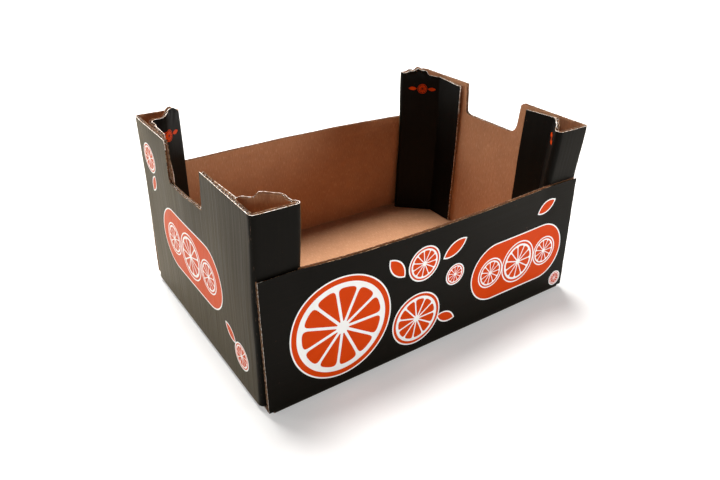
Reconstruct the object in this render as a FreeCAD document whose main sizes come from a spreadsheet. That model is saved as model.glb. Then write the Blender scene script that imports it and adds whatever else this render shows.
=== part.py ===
import FreeCAD, Part
import math
import os
import Sketcher
from FreeCAD import Placement, Rotation, Vector

# Cardboard tray box for fruit, empty: one die-cut blank of corrugated board, folded and glued.
# The two high end walls carry on round the corners as a flap, a slanting panel and a glue tab.
# These close into four hollow three-sided posts, each with a stacking lug on its slanting panel.
# The two low long walls fold up last, outside the flaps, and are glued to them.
# Frame in mm: X along the long side, Y away from the front, Z up, origin under the base's middle.

DRIVING_SIZES = [
    ("length", 400, "outside, end wall to end wall"),
    ("post_depth", 266, "outside, front flaps to back flaps"),
    ("base_depth", 288, "outside, fold of the front long wall to fold of the back one"),
    ("wall_height", 202, "end walls and posts, without the lugs"),
    ("side_height", 141, "long walls"),
    ("board", 4, "thickness of the corrugated board"),
    ("fold_radius", 0.8, "inside of every fold"),
    ("glue_gap", 0.3, "between two glued layers"),
    ("side_inset", 2.5, "end wall's face to the long wall's raw edge"),
    ("side_bulge", 6.5, "how far the middle of a long wall's top edge bows out"),
    ("crease_stop", 6, "end wall's fold with the base stops this far from the corner"),
    ("flap", 46, "corner to the flap's far fold"),
    ("post_angle", 41, "degrees between the slanting panel and the long wall"),
    ("tab_end", 56, "middle of the end wall to the glue tab's free edge"),
    ("tab_drop", 2.5, "glue tab's top below the end wall's top"),
    ("lug_start", 4, "flap's fold to the stacking lug, along the slanting panel"),
    ("lug_width", 29, "stacking lug at its foot"),
    ("lug_rise", 5.5, "stacking lug above the panel"),
    ("lug_slope", 3.5, "how far the lug's sides lean in"),
    ("lug_corner", 2, "rounding of the lug's top corners"),
    ("cutout_front_left", 35, "left end wall's cut-out, from the middle to its front side"),
    ("cutout_front_right", 41, "right end wall's cut-out, from the middle to its front side"),
    ("cutout_back", 46, "both cut-outs, from the middle to the back side"),
    ("cutout_depth", 40, "both cut-outs, below the wall's top"),
    ("cutout_foot_radius", 7, "lower corners of the cut-outs"),
    ("cutout_top_radius", 3, "upper corners of the cut-outs"),
    ("bead_width", 5, "line of glue between two layers"),
    ("side_bead_length", 22, "glue lines between a flap and its long wall"),
    ("side_bead_drop", 7, "long wall's top to the upper end of its glue lines"),
    ("tab_bead_length", 110, "glue lines between a tab and its end wall"),
    ("tab_bead_foot", 50, "height of the lower end of the tab's glue lines"),
    ("bead_pitch", 18, "between the two glue lines of a joint"),
]

doc = FreeCAD.newDocument("cardboard_tray")
sheet = doc.addObject("Spreadsheet::Sheet", "Sizes")
for row, (alias, value, note) in enumerate(DRIVING_SIZES, start=1):
    sheet.set(f"A{row}", alias)
    sheet.set(f"B{row}", str(value))
    sheet.setAlias(f"B{row}", alias)
    sheet.set(f"C{row}", note)
doc.recompute()

half_length = sheet.length / 2
half_posts = sheet.post_depth / 2
half_base = sheet.base_depth / 2
wall_height = sheet.wall_height
board = sheet.board
fold_outside = sheet.fold_radius + board

# How far a cutting shape runs past the board that it cuts.
PAST = 2

# Sketch planes: the drawing's x and y become X and Y, X and Z, or Y and Z.
FLAT = Rotation()
FACING_FRONT = Rotation(Vector(1, 0, 0), 90)
FACING_END = Rotation(Vector(1, 1, 1), 120)

# Expressions that several objects share.
HALF_LENGTH = "(Sizes.length / 2)"
HALF_POSTS = "(Sizes.post_depth / 2)"
HALF_BASE = "(Sizes.base_depth / 2)"
FOLD_OUTSIDE = "(Sizes.fold_radius + Sizes.board)"
FOLD_TOP = "(Sizes.fold_radius + 2 * Sizes.board)"
TAB_FACE = "(2 * Sizes.board + Sizes.glue_gap - Sizes.length / 2)"
POST_ANGLE = "(Sizes.post_angle * 1 deg)"
# Where the flap's far fold ends and the slanting panel's outer face begins.
PANEL_X = f"({FOLD_OUTSIDE} * (sin({POST_ANGLE}) - 1) + Sizes.flap - {HALF_LENGTH})"
PANEL_Y = f"({FOLD_OUTSIDE} * (cos({POST_ANGLE}) + 1) - {HALF_POSTS})"


def bind(sketch, name, constraint, expression):
    """Add a named constraint to a sketch and tie its value to the sheet."""
    index = sketch.addConstraint(constraint)
    sketch.renameConstraint(index, name)
    sketch.setExpression("Constraints." + name, expression)


def bind_point(sketch, name, geometry, end, x=None, y=None):
    """Tie the x or y, or both, of one point of a line or an arc to the sheet."""
    point = sketch.getPoint(geometry, end)
    if x is not None:
        bind(sketch, name + "_x", Sketcher.Constraint("DistanceX", geometry, end, point.x), x)
    if y is not None:
        bind(sketch, name + "_y", Sketcher.Constraint("DistanceY", geometry, end, point.y), y)


def end_at(sketch, geometry, point):
    """Which end of a line or an arc lies at a point: 1 for its start, 2 for its end."""
    to_start = sketch.getPoint(geometry, 1).distanceToPoint(point)
    to_end = sketch.getPoint(geometry, 2).distanceToPoint(point)
    return 1 if to_start < to_end else 2


def rounded_corner(before, corner, after, radius):
    """Start, middle and end of the arc that rounds a corner between two straight runs."""
    back = (before - corner).normalize()
    onward = (after - corner).normalize()
    half_angle = back.getAngle(onward) / 2
    reach = radius / math.tan(half_angle)
    inward = (back + onward).normalize()
    middle = corner + inward * (radius / math.sin(half_angle) - radius)
    return corner + back * reach, middle, corner + onward * reach


def new_sketch(name, plane):
    sketch = doc.addObject("Sketcher::SketchObject", name)
    sketch.Placement = Placement(Vector(), plane)
    return sketch


def add_rounded_line(sketch, corners, radii):
    """Draw straight runs between corners, with a tangent arc at each corner between them.

    A radius is a number and the expression that drives it. Returns the runs' numbers.
    """
    runs = []
    start = corners[0]
    previous = None
    for number, (radius, expression) in enumerate(radii, start=1):
        arc_start, middle, arc_end = rounded_corner(start, corners[number], corners[number + 1], radius)
        run = sketch.addGeometry(Part.LineSegment(start, arc_start), False)
        arc = sketch.addGeometry(Part.Arc(arc_start, middle, arc_end), False)
        if previous is not None:
            join = end_at(sketch, previous, start)
            sketch.addConstraint(Sketcher.Constraint("Tangent", previous, join, run, 1))
        join = end_at(sketch, arc, arc_start)
        sketch.addConstraint(Sketcher.Constraint("Tangent", run, 2, arc, join))
        bind(sketch, f"radius_{number}", Sketcher.Constraint("Radius", arc, radius), expression)
        runs.append(run)
        previous = arc
        start = arc_end
    run = sketch.addGeometry(Part.LineSegment(start, corners[-1]), False)
    join = end_at(sketch, previous, start)
    sketch.addConstraint(Sketcher.Constraint("Tangent", previous, join, run, 1))
    runs.append(run)
    return runs


def close_line(sketch, first, last, points=()):
    """Close an open line from its last run back to its first, through extra points.

    A point is its x and y and the two expressions that drive them.
    """
    previous = last
    for number, (x, y, x_expression, y_expression) in enumerate(points, start=1):
        start = sketch.getPoint(previous, 2)
        edge = sketch.addGeometry(Part.LineSegment(start, Vector(x, y)), False)
        sketch.addConstraint(Sketcher.Constraint("Coincident", previous, 2, edge, 1))
        bind_point(sketch, f"close_{number}", edge, 2, x_expression, y_expression)
        previous = edge
    edge = sketch.addGeometry(Part.LineSegment(sketch.getPoint(previous, 2), sketch.getPoint(first, 1)), False)
    sketch.addConstraint(Sketcher.Constraint("Coincident", previous, 2, edge, 1))
    sketch.addConstraint(Sketcher.Constraint("Coincident", edge, 2, first, 1))


def run_out(name, base, direction, distance, symmetric=False):
    """Extrude a sketch or a section along a direction."""
    solid = doc.addObject("Part::Extrusion", name)
    solid.Base = base
    solid.DirMode = "Custom"
    solid.Dir = direction
    solid.Solid = True
    solid.Symmetric = symmetric
    solid.setExpression("LengthFwd", distance)
    return solid


def board_section(name, line, thickness="-Sizes.board"):
    """Give a folded line the board's thickness. Its sign picks the side of the line."""
    section = doc.addObject("Part::Offset2D", name)
    section.Source = line
    section.Mode = "Skin"
    section.Join = "Intersection"
    section.Fill = True
    section.setExpression("Value", thickness)
    return section


def mirror(source, name, normal):
    twin = doc.addObject("Part::Mirroring", name)
    twin.Source = source
    twin.Normal = normal
    return twin


def box(name, corner, sides):
    """A block whose corner and sides are expressions."""
    block = doc.addObject("Part::Box", name)
    for axis, expression in zip("xyz", corner):
        block.setExpression("Placement.Base." + axis, expression)
    for side, expression in zip(("Length", "Width", "Height"), sides):
        block.setExpression(side, expression)
    return block


def fuse(name, shapes):
    joined = doc.addObject("Part::MultiFuse", name)
    joined.Shapes = shapes
    joined.Refine = True
    return joined


def cut(name, base, tool):
    remaining = doc.addObject("Part::Cut", name)
    remaining.Base = base
    remaining.Tool = tool
    remaining.Refine = True
    return remaining


def u_line(name, plane, half, top, half_expression, top_expression):
    """Down one side, across the base and up the other side, with a fold at each corner."""
    line = new_sketch(name, plane)
    corners = [Vector(-half, top), Vector(-half, 0), Vector(half, 0), Vector(half, top)]
    left, base, right = add_rounded_line(line, corners, [(fold_outside, FOLD_OUTSIDE)] * 2)
    bind_point(line, "left_top", left, 1, "-" + half_expression, top_expression)
    bind_point(line, "right_top", right, 2, half_expression, top_expression)
    line.addConstraint(Sketcher.Constraint("Vertical", left))
    line.addConstraint(Sketcher.Constraint("Vertical", right))
    line.addConstraint(Sketcher.Constraint("Horizontal", base))
    bind_point(line, "underside", base, 1, None, "0")
    return line


def end_walls():
    """Left end wall, base and right end wall in one run, up to where the corner posts start."""
    line = u_line("end_wall_line", FACING_FRONT, half_length, wall_height, HALF_LENGTH, "Sizes.wall_height")
    section = board_section("end_wall_section", line, "Sizes.board")
    return run_out("end_walls", section, Vector(0, 1, 0), "Sizes.post_depth - 2 * Sizes.crease_stop", True)


def long_folds():
    """The base over its full depth, with the folds that carry the two long walls."""
    line = u_line("long_fold_line", FACING_END, half_base, fold_outside + board, HALF_BASE, FOLD_TOP)
    section = board_section("long_fold_section", line)
    return run_out("long_folds", section, Vector(1, 0, 0), f"Sizes.length - 2 * {FOLD_OUTSIDE}", True)


def wall_level(name, face, face_expression, height_expression, bulge):
    """Level section of the front long wall: straight over the flaps, bowed between them."""
    sketch = new_sketch(name, FLAT)
    sketch.setExpression("Placement.Base.z", height_expression)
    xs = [sheet.side_inset - half_length, sheet.flap - half_length]
    xs += [-x for x in reversed(xs)]
    x_expressions = [f"Sizes.side_inset - {HALF_LENGTH}", f"Sizes.flap - {HALF_LENGTH}"]
    x_expressions += [f"{HALF_LENGTH} - Sizes.flap", f"{HALF_LENGTH} - Sizes.side_inset"]
    outer = [Vector(x, face) for x in xs]
    inner = [Vector(x, face + board) for x in reversed(xs)]
    loop = outer + inner
    loop_x = x_expressions + x_expressions[::-1]
    loop_y = [face_expression] * len(outer) + [face_expression + " + Sizes.board"] * len(inner)
    edges = []
    for start, finish in zip(loop, loop[1:] + loop[:1]):
        spans_middle = start.x * finish.x < 0
        if bulge and spans_middle:
            middle = Vector(0, start.y - bulge)
            edges.append(sketch.addGeometry(Part.Arc(start, middle, finish), False))
            radius = f"((({HALF_LENGTH} - Sizes.flap) ^ 2 + Sizes.side_bulge ^ 2) / (2 * Sizes.side_bulge))"
            value = (xs[-2] ** 2 + bulge ** 2) / (2 * bulge)
            bind(sketch, f"bow_{len(edges)}", Sketcher.Constraint("Radius", edges[-1], value), radius)
        else:
            edges.append(sketch.addGeometry(Part.LineSegment(start, finish), False))
    for number, (corner, edge) in enumerate(zip(loop, edges)):
        here = end_at(sketch, edge, corner)
        before = edges[number - 1]
        there = end_at(sketch, before, corner)
        sketch.addConstraint(Sketcher.Constraint("Coincident", edge, here, before, there))
        bind_point(sketch, f"corner_{number}", edge, here, loop_x[number], loop_y[number])
    return sketch


def front_wall():
    """Long wall from its fold up to its top edge, which leans in to the flaps that it is glued to."""
    foot = wall_level("front_wall_foot", -half_base, "-" + HALF_BASE, FOLD_TOP, 0)
    top_face = -(half_posts + sheet.glue_gap + board)
    top_expression = f"-({HALF_POSTS} + Sizes.glue_gap + Sizes.board)"
    top = wall_level("front_wall_top", top_face, top_expression, "Sizes.side_height", sheet.side_bulge)
    wall = doc.addObject("Part::Loft", "front_wall")
    wall.Sections = [foot, top]
    wall.Solid = True
    wall.Ruled = True
    return wall


def post_walls():
    """Front left post: flap round the corner, slanting panel back inside, tab on the end wall."""
    angle = math.radians(sheet.post_angle)
    panel_x = fold_outside * (math.sin(angle) - 1) + sheet.flap - half_length
    panel_y = fold_outside * (math.cos(angle) + 1) - half_posts
    tab_x = 2 * board + sheet.glue_gap - half_length
    flap_corner = Vector(panel_x + (panel_y + half_posts) / math.tan(angle), -half_posts)
    tab_corner = Vector(tab_x, panel_y + (panel_x - tab_x) * math.tan(angle))
    corners = [
        Vector(-half_length, sheet.crease_stop - half_posts),
        Vector(-half_length, -half_posts),
        flap_corner,
        tab_corner,
        Vector(tab_x, -sheet.tab_end),
    ]
    outside = (fold_outside, FOLD_OUTSIDE)
    inside = (sheet.fold_radius, "Sizes.fold_radius")
    line = new_sketch("post_line", FLAT)
    stub, flap, panel, tab = add_rounded_line(line, corners, [outside, outside, inside])
    bind_point(line, "stub", stub, 1, "-" + HALF_LENGTH, "Sizes.crease_stop - " + HALF_POSTS)
    line.addConstraint(Sketcher.Constraint("Vertical", stub))
    line.addConstraint(Sketcher.Constraint("Horizontal", flap))
    bind_point(line, "flap", flap, 1, None, "-" + HALF_POSTS)
    bind_point(line, "panel", panel, 1, PANEL_X, None)
    slant = Sketcher.Constraint("Angle", panel, math.pi - angle)
    bind(line, "slant", slant, f"180 deg - {POST_ANGLE}")
    line.addConstraint(Sketcher.Constraint("Vertical", tab))
    bind_point(line, "tab", tab, 2, TAB_FACE, "-Sizes.tab_end")
    section = board_section("post_section", line)
    walls = run_out("post_walls", section, Vector(0, 0, 1), f"Sizes.wall_height - {FOLD_OUTSIDE}")
    walls.setExpression("Placement.Base.z", FOLD_OUTSIDE)
    return walls


def tab_top():
    """Block that takes the glue tab's top down below the end wall's top."""
    crease = f"({PANEL_Y} + ({PANEL_X} - {TAB_FACE}) * tan({POST_ANGLE}) + Sizes.board)"
    corner = [
        f"Sizes.board + Sizes.glue_gap / 2 - {HALF_LENGTH}",
        crease,
        "Sizes.wall_height - Sizes.tab_drop",
    ]
    sides = ["Sizes.board + Sizes.glue_gap", f"{PAST} - Sizes.tab_end - {crease}", f"Sizes.tab_drop + {PAST}"]
    return box("tab_top", corner, sides)


def lug():
    """Stacking lug that stands on the front left slanting panel, drawn along that panel."""
    start = sheet.lug_start
    finish = start + sheet.lug_width
    top = wall_height + sheet.lug_rise
    corners = [
        Vector(start, wall_height),
        Vector(start + sheet.lug_slope, top),
        Vector(finish - sheet.lug_slope, top),
        Vector(finish, wall_height),
    ]
    outline = new_sketch("lug_outline", FACING_FRONT)
    rounding = (sheet.lug_corner, "Sizes.lug_corner")
    rise, crown, fall = add_rounded_line(outline, corners, [rounding, rounding])
    bind_point(outline, "start", rise, 1, "Sizes.lug_start", "Sizes.wall_height")
    bind_point(outline, "finish", fall, 2, "Sizes.lug_start + Sizes.lug_width", "Sizes.wall_height")
    lean = math.atan(sheet.lug_rise / sheet.lug_slope)
    lean_expression = "atan(Sizes.lug_rise / Sizes.lug_slope)"
    bind(outline, "rise_lean", Sketcher.Constraint("Angle", rise, lean), lean_expression)
    bind(outline, "fall_lean", Sketcher.Constraint("Angle", fall, -lean), "-" + lean_expression)
    outline.addConstraint(Sketcher.Constraint("Horizontal", crown))
    bind_point(outline, "crown", crown, 1, None, "Sizes.wall_height + Sizes.lug_rise")
    close_line(outline, rise, fall)
    piece = run_out("lug", outline, Vector(0, 1, 0), "Sizes.board")
    piece.Placement = Placement(Vector(), Rotation(Vector(0, 0, 1), 180 - sheet.post_angle))
    piece.setExpression("Placement.Rotation.Angle", f"180 deg - {POST_ANGLE}")
    piece.setExpression("Placement.Base.x", PANEL_X)
    piece.setExpression("Placement.Base.y", PANEL_Y)
    return piece


def cutout(name, front, front_expression, wall_x_expression):
    """Wide hand and air cut-out in the top of one end wall."""
    lip = sheet.cutout_top_radius + PAST
    lip_expression = f"(Sizes.cutout_top_radius + {PAST})"
    foot = wall_height - sheet.cutout_depth
    back = sheet.cutout_back
    corners = [
        Vector(-front - lip, wall_height),
        Vector(-front, wall_height),
        Vector(-front, foot),
        Vector(back, foot),
        Vector(back, wall_height),
        Vector(back + lip, wall_height),
    ]
    top_corner = (sheet.cutout_top_radius, "Sizes.cutout_top_radius")
    foot_corner = (sheet.cutout_foot_radius, "Sizes.cutout_foot_radius")
    outline = new_sketch(name + "_outline", FACING_END)
    runs = add_rounded_line(outline, corners, [top_corner, foot_corner, foot_corner, top_corner])
    front_lip, front_side, sill, back_side, back_lip = runs
    front_end = f"-{front_expression} - {lip_expression}"
    back_end = f"Sizes.cutout_back + {lip_expression}"
    over = f"Sizes.wall_height + {PAST}"
    bind_point(outline, "front_lip", front_lip, 1, front_end, "Sizes.wall_height")
    bind_point(outline, "front_side", front_side, 1, "-" + front_expression, None)
    bind_point(outline, "sill", sill, 1, None, "Sizes.wall_height - Sizes.cutout_depth")
    bind_point(outline, "back_side", back_side, 1, "Sizes.cutout_back", None)
    bind_point(outline, "back_lip", back_lip, 2, back_end, "Sizes.wall_height")
    for level in (front_lip, sill, back_lip):
        outline.addConstraint(Sketcher.Constraint("Horizontal", level))
    for upright in (front_side, back_side):
        outline.addConstraint(Sketcher.Constraint("Vertical", upright))
    above = wall_height + PAST
    closing = [(back + lip, above, back_end, over), (-front - lip, above, front_end, over)]
    close_line(outline, front_lip, back_lip, closing)
    outline.setExpression("Placement.Base.x", wall_x_expression)
    return run_out(name, outline, Vector(1, 0, 0), f"Sizes.board + 2 * {PAST}")


def tray():
    """The whole blank, folded: one solid."""
    post = fuse("post_front_left", [cut("post_trimmed", post_walls(), tab_top()), lug()])
    post_right = mirror(post, "post_front_right", Vector(1, 0, 0))
    post_back = mirror(post, "post_back_left", Vector(0, 1, 0))
    post_far = mirror(post_right, "post_back_right", Vector(0, 1, 0))
    wall = front_wall()
    wall_back = mirror(wall, "back_wall", Vector(0, 1, 0))
    pieces = [end_walls(), long_folds(), wall, wall_back, post, post_right, post_back, post_far]
    left = cutout("cutout_left", sheet.cutout_front_left, "Sizes.cutout_front_left", f"-{PAST} - {HALF_LENGTH}")
    right_place = f"{HALF_LENGTH} - Sizes.board - {PAST}"
    right = cutout("cutout_right", sheet.cutout_front_right, "Sizes.cutout_front_right", right_place)
    return cut("tray", fuse("folded_blank", pieces), fuse("cutouts", [left, right]))


def glue_beads(blank):
    """Lines of hot glue that fill the gaps between the layers: two a joint, eight joints."""
    lines = []
    for number in range(2):
        along = f"{number} * Sizes.bead_pitch"
        side_corner = [
            f"Sizes.crease_stop + {along} + Sizes.bead_width - {HALF_LENGTH}",
            f"-{HALF_POSTS} - Sizes.board / 2 - Sizes.glue_gap",
            "Sizes.side_height - Sizes.side_bead_drop - Sizes.side_bead_length",
        ]
        side_size = ["Sizes.bead_width", "Sizes.board / 2 + 2 * Sizes.glue_gap", "Sizes.side_bead_length"]
        lines.append(box(f"side_bead_{number}", side_corner, side_size))
        tab_corner = [
            f"Sizes.board - Sizes.glue_gap - {HALF_LENGTH}",
            f"-Sizes.tab_end - {along} - 2 * Sizes.bead_width",
            "Sizes.tab_bead_foot",
        ]
        tab_size = ["3 * Sizes.glue_gap", "Sizes.bead_width", "Sizes.tab_bead_length"]
        lines.append(box(f"tab_bead_{number}", tab_corner, tab_size))
    corner = fuse("beads_front_left", lines)
    right = mirror(corner, "beads_front_right", Vector(1, 0, 0))
    back = mirror(corner, "beads_back_left", Vector(0, 1, 0))
    far = mirror(right, "beads_back_right", Vector(0, 1, 0))
    return cut("glue_beads", fuse("bead_blocks", [corner, right, back, far]), blank)


blank = tray()
sub_parts = [blank, glue_beads(blank)]
doc.recompute()

for item in doc.Objects:
    if "Invalid" in item.State or "Error" in item.State:
        raise RuntimeError(f"{item.Name} failed to build: {item.State}")
for part in sub_parts:
    if part.Shape.isNull() or not part.Shape.isValid():
        raise RuntimeError(f"{part.Label} has no valid shape")
if len(blank.Shape.Solids) != 1:
    raise RuntimeError("the folded blank is not one solid")

os.makedirs("parts", exist_ok=True)
for part in sub_parts:
    part.Shape.exportStep(os.path.join("parts", part.Label + ".step"))
    box_size = part.Shape.BoundBox
    print(part.Label, len(part.Shape.Solids), "solids", round(part.Shape.Volume / 1000, 1), "cm3", box_size)
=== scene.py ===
import math

import bmesh
import bpy
from mathutils import Matrix, Vector, noise


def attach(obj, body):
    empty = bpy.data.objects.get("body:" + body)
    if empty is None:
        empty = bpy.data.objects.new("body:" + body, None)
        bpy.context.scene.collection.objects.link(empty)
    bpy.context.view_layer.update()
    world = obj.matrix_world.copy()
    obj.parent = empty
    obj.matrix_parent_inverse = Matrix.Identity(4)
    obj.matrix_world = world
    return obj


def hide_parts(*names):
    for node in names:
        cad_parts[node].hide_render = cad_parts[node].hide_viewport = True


# Cardboard tray box: one folded sheet of single wall corrugated board, printed black outside.
# Everything is built in mm and made metres at the end. X runs along the box, -Y is its front.
# Each panel has its real three layers: printed liner, fluting, plain kraft liner.

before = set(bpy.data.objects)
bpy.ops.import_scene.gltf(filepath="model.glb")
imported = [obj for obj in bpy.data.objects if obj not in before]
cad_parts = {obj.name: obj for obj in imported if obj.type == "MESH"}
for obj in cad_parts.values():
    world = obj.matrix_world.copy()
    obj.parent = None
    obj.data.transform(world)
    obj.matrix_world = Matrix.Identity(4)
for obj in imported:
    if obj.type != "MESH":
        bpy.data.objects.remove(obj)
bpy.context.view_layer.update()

box = {
    "halfLength": 200.0,
    "halfPosts": 133.0,        # over the flaps, narrower than over the long walls
    "middleHeight": 60.0,
}

board = {
    "thickness": 4.0,
    "liner": 0.75,             # over twice the real paper, so that its cut edge shows from a step away
    "fluting": 0.35,
    "flutePitch": 6.4,         # B flute
    "fluteSteps": 10,          # faces to one flute
    "foldInside": 0.8,
    "foldOutside": 4.8,
    "foldStep": 14.0,          # degrees to one face round an upright fold
    "footSteps": 6,            # faces round a fold with the base
    "fluteRecess": 0.9,        # fluting crushed back from the cut top edges
    "edgeWave": 0.22,          # liners pinched towards the flutes at a cut edge
    "warp": 0.45,              # slow unevenness of every panel
    "warpSize": 70.0,
    "mostStretch": 1.1,        # a crumpled layer grows no more than this when it is sunk
    "sharpFrom": 50.0,         # degrees from which an edge is drawn sharp
}


# Small tools for sheets

def runOn(bm, run, last, heading, length):
    vert = bmesh.ops.extrude_vert_indiv(bm, verts=[last])["verts"][0]
    vert.co = last.co + heading * length
    vert[run] = last[run] + length
    return vert


def foldOn(bm, run, last, heading, turn, radius):
    # turn in degrees, to the left when positive
    side = 1 if turn > 0 else -1
    centre = last.co + Vector((-heading.y, heading.x, 0)) * side * radius
    steps = max(3, round(abs(turn) / board["foldStep"]))
    before = set(bm.verts)
    start = last[run]
    spun = bmesh.ops.spin(bm, geom=[last], cent=centre, axis=(0, 0, 1), dvec=(0, 0, 0),
                          angle=math.radians(turn), steps=steps, use_duplicate=False)
    for vert in bm.verts:
        if vert not in before:
            spoke = vert.co - centre
            first = last.co - centre
            vert[run] = start + radius * spoke.angle(first)
    end = [item for item in spun["geom_last"] if isinstance(item, bmesh.types.BMVert)][0]
    return end, Matrix.Rotation(math.radians(turn), 3, "Z") @ heading


def divide(bm, step):
    # same spacing all along a line, whatever the length of its runs
    for edge in bm.edges[:]:
        cuts = round(edge.calc_length() / step) - 1
        if cuts > 0:
            bmesh.ops.subdivide_edges(bm, edges=[edge], cuts=cuts)


def raiseLine(bm, heights):
    # pulls a line up into a sheet, one row of faces for each height
    edges = bm.edges[:]
    for low, high in zip(heights, heights[1:]):
        pulled = bmesh.ops.extrude_edge_only(bm, edges=edges)["geom"]
        top = [item for item in pulled if isinstance(item, bmesh.types.BMVert)]
        edges = [item for item in pulled if isinstance(item, bmesh.types.BMEdge)]
        bmesh.ops.translate(bm, verts=top, vec=(0, 0, high - low))


def turnFoot(bm, edges, centre, axis, degrees):
    # the fold that takes a wall's lower edge under the box
    bmesh.ops.spin(bm, geom=edges, cent=centre, axis=axis, dvec=(0, 0, 0),
                   angle=math.radians(degrees), steps=board["footSteps"], use_duplicate=False)


def along(points, where):
    # straight lines between (place, value) points
    if where <= points[0][0]:
        return points[0][1]
    for (a, valueA), (b, valueB) in zip(points, points[1:]):
        if where <= b:
            return valueA + (valueB - valueA) * (where - a) / (b - a)
    return points[-1][1]


def smoothStep(low, high, value):
    t = min(1, max(0, (value - low) / (high - low)))
    return t * t * (3 - 2 * t)


def middleOf(outline):
    return sum((Vector(point) for point in outline), Vector((0, 0))) / len(outline)


def cutAway(bm, faces, outline):
    # takes a convex outline of (y, z) points out of a wall that faces left or right
    inside = list(faces)
    middle = middleOf(outline)
    for a, b in zip(outline, outline[1:] + outline[:1]):
        normal = Vector((0, b[1] - a[1], a[0] - b[0]))
        towards = Vector((0, middle.x - a[0], middle.y - a[1]))
        if normal.dot(towards) < 0:
            normal.negate()
        parts = {edge for face in inside for edge in face.edges}
        corners = {vert for face in inside for vert in face.verts}
        place = Vector((0, a[0], a[1]))
        cut = bmesh.ops.bisect_plane(bm, geom=inside + list(parts) + list(corners), dist=1e-4,
                                     plane_co=place, plane_no=normal)
        found = [item for item in cut["geom"] if isinstance(item, bmesh.types.BMFace)]
        inside = []
        for face in found:
            offset = face.calc_center_median() - place
            if normal.y * offset.y + normal.z * offset.z > 0:
                inside.append(face)
    bmesh.ops.delete(bm, geom=inside, context="FACES")


def widen(outline, amount):
    middle = middleOf(outline)
    return [tuple(Vector(point) + (Vector(point) - middle).normalized() * amount) for point in outline]


def faceOutwards(bm, place):
    # the face nearest to place looks away from the box's middle, and the rest of the sheet follows it
    bmesh.ops.recalc_face_normals(bm, faces=bm.faces)
    place = Vector(place)
    face = min(bm.faces, key=lambda f: (f.calc_center_median() - place).length)
    if face.normal.dot(place - Vector((0, 0, box["middleHeight"]))) < 0:
        bmesh.ops.reverse_faces(bm, faces=bm.faces)
    bm.normal_update()


def sink(bm, depth):
    # moves the sheet from the printed face into the board, by depth(vert) at each point
    bm.normal_update()
    moves = []
    for vert in bm.verts:
        stretch = min(board["mostStretch"], vert.calc_shell_factor())
        moves.append((vert, -vert.normal * depth(vert) * stretch))
    for vert, move in moves:
        vert.co += move


def writeUv(bm, run, up):
    # the place on the flat blank, in metres, which the streaks and the paper's grain follow. up
    # is 2 on a wall, where height is the blank's other way, and 1 on the base.
    uv = bm.loops.layers.uv.new("blank")
    for face in bm.faces:
        for loop in face.loops:
            loop[uv].uv = (loop.vert[run] / 1000, loop.vert.co[up] / 1000)


def finish(bm, name, materials, thickness):
    # materials are in threes: the printed or outer face, the face behind it, and the cut edge
    bmesh.ops.scale(bm, vec=(0.001, 0.001, 0.001), verts=bm.verts)
    mesh = bpy.data.meshes.new(name)
    bm.to_mesh(mesh)
    bm.free()
    for material in materials:
        mesh.materials.append(material)
    mesh.shade_smooth()
    piece = bpy.data.objects.new(name, mesh)
    bpy.context.scene.collection.objects.link(piece)
    wall = piece.modifiers.new("paper", "SOLIDIFY")
    wall.thickness = thickness / 1000
    wall.offset = -1
    wall.material_offset = 1
    wall.material_offset_rim = 2
    sharp = piece.modifiers.new("edges", "EDGE_SPLIT")
    sharp.split_angle = math.radians(board["sharpFrom"])
    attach(piece, "root")
    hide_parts("tray")


def threeLayers(name, makeSheet, printed, kraft, cutEdge, wave, up=2):
    # The same sheet three times: printed liner, kraft liner and fluting. wave gives pinch, how far
    # a flute pulls the liners in, and crest, where in the board the fluting lies, from -1 to 1.
    deep = board["thickness"]
    liner = board["liner"]
    reach = (deep - 2 * liner - board["fluting"]) / 2
    layers = {
        "printed_liner": (printed, liner, lambda pinch, crest: pinch),
        "kraft_liner": ([kraft, kraft, rubbedEdge], liner, lambda pinch, crest: deep - liner - pinch),
        "fluting": ([flutes, flutes, cutEdge], board["fluting"],
                    lambda pinch, crest: deep / 2 + reach * crest),
    }
    for layer, (materials, thickness, depth) in layers.items():
        bm, run = makeSheet(layer)
        if layer != "printed_liner":
            for face in bm.faces:
                face.material_index = 0
        sink(bm, lambda vert: depth(*wave(vert, run)))
        writeUv(bm, run, up)
        finish(bm, name + "_" + layer, materials, thickness)


# Materials

def linear(hexColour):
    values = [int(hexColour[i:i + 2], 16) / 255 for i in (1, 3, 5)]
    return tuple(v / 12.92 if v <= 0.04045 else ((v + 0.055) / 1.055) ** 2.4 for v in values) + (1.0,)


def outputOf(node):
    # the first output in use, which a setting such as data_type can change
    return [output for output in node.outputs if output.enabled][0]


def addNode(tree, kind, links=None, **settings):
    # settings are the node's own fields. links are its inputs: a value, a socket, or another
    # node, which stands for its first output in use.
    node = tree.nodes.new("ShaderNode" + kind)
    for field, value in settings.items():
        setattr(node, field, value)
    for key, value in (links or {}).items():
        if isinstance(value, bpy.types.Node):
            value = outputOf(value)
        if isinstance(value, bpy.types.NodeSocket):
            tree.links.new(value, node.inputs[key])
        else:
            node.inputs[key].default_value = value
    return node


def startMaterial(name, roughness, specular, ior=1.5):
    material = bpy.data.materials.new(name)
    material.use_nodes = True
    tree = material.node_tree
    shader = tree.nodes["Principled BSDF"]
    shader.inputs["Roughness"].default_value = roughness
    shader.inputs["Specular IOR Level"].default_value = specular
    shader.inputs["IOR"].default_value = ior
    return material, tree, shader


def blankScale(across, fine, coarse):
    # a texture's scale on the blank: fine across the flutes and coarse along them
    return (fine, coarse, 1.0) if across == 0 else (coarse, fine, 1.0)


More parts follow.
